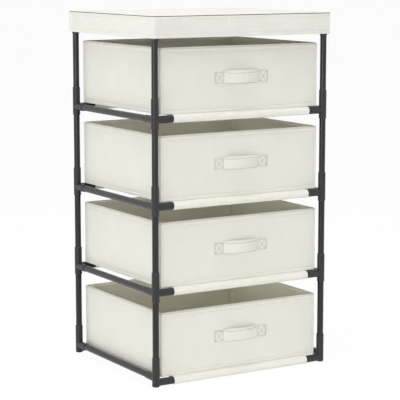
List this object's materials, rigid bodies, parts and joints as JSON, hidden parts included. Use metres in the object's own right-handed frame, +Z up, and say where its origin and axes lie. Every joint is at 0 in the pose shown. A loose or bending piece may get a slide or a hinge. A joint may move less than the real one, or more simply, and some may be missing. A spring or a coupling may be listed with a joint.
{
  "type": "fabric drawer dresser",
  "caption": "Free-standing rack of black steel tubes and moulded plastic connectors with cloth shelves, open cream fabric drawers that slide forwards, and a flat fabric top cover.",
  "frame": {"origin": "on the floor, midway between the four posts", "axes": "+Z up, -Y towards the person who faces the drawers, +X to that person's right"},
  "size_m": [0.45, 0.388, 0.7908],
  "materials": {
    "black_steel": "satin black powder coat",
    "black_plastic": "fine moulded grain, black",
    "drawer_fabric": "cream non-woven fabric with sewn hems",
    "shelf_cloth": "cream non-woven fabric, stretched",
    "handle_webbing": "cream folded strap with box stitching",
    "cover_fabric": "cream linen-look woven fabric",
    "stiff_board": "grey-beige fibreboard"
  },
  "bodies": {
    "rack": {"foot_front_left": "black_plastic", "tier_connector_front_left_1": "black_plastic", "tier_connector_front_left_2": "black_plastic", "tier_connector_front_left_3": "black_plastic", "top_corner_front_left": "black_plastic", "post_tubes_front_left": "black_steel", "foot_front_right": "black_plastic", "tier_connector_front_right_1": "black_plastic", "tier_connector_front_right_2": "black_plastic", "tier_connector_front_right_3": "black_plastic", "top_corner_front_right": "black_plastic", "post_tubes_front_right": "black_steel", "foot_rear_left": "black_plastic", "tier_connector_rear_left_1": "black_plastic", "tier_connector_rear_left_2": "black_plastic", "tier_connector_rear_left_3": "black_plastic", "top_corner_rear_left": "black_plastic", "post_tubes_rear_left": "black_steel", "foot_rear_right": "black_plastic", "tier_connector_rear_right_1": "black_plastic", "tier_connector_rear_right_2": "black_plastic", "tier_connector_rear_right_3": "black_plastic", "top_corner_rear_right": "black_plastic", "post_tubes_rear_right": "black_steel", "cross_rails_1": "black_steel", "side_rails_1": "black_steel", "shelf_cloth_1": "shelf_cloth", "cross_rails_2": "black_steel", "side_rails_2": "black_steel", "shelf_cloth_2": "shelf_cloth", "cross_rails_3": "black_steel", "side_rails_3": "black_steel", "shelf_cloth_3": "shelf_cloth", "cross_rails_4": "black_steel", "side_rails_4": "black_steel", "shelf_cloth_4": "shelf_cloth", "top_cross_rails": "black_steel", "top_side_rails": "black_steel"},
    "top_cover": {"top_cover": "cover_fabric", "top_board": "stiff_board"},
    "drawer_1": {"drawer_1_shell": "drawer_fabric", "drawer_1_wall_boards": "stiff_board", "drawer_1_base_board": "stiff_board", "drawer_1_handle": "handle_webbing"},
    "drawer_2": {"drawer_2_shell": "drawer_fabric", "drawer_2_wall_boards": "stiff_board", "drawer_2_base_board": "stiff_board", "drawer_2_handle": "handle_webbing"},
    "drawer_3": {"drawer_3_shell": "drawer_fabric", "drawer_3_wall_boards": "stiff_board", "drawer_3_base_board": "stiff_board", "drawer_3_handle": "handle_webbing"},
    "drawer_4": {"drawer_4_shell": "drawer_fabric", "drawer_4_wall_boards": "stiff_board", "drawer_4_base_board": "stiff_board", "drawer_4_handle": "handle_webbing"}
  },
  "joints": [
    {"name": "drawer_1_slide", "type": "slide", "parent": "rack", "child": "drawer_1", "axis": [0, -1, 0], "range_m": [0, 0.3]},
    {"name": "drawer_2_slide", "type": "slide", "parent": "rack", "child": "drawer_2", "axis": [0, -1, 0], "range_m": [0, 0.3]},
    {"name": "drawer_3_slide", "type": "slide", "parent": "rack", "child": "drawer_3", "axis": [0, -1, 0], "range_m": [0, 0.3]},
    {"name": "drawer_4_slide", "type": "slide", "parent": "rack", "child": "drawer_4", "axis": [0, -1, 0], "range_m": [0, 0.3]},
    {"name": "top_cover_lift", "type": "slide", "parent": "rack", "child": "top_cover", "axis": [0, 0, 1], "range_m": [0, 0.06]}
  ]
}
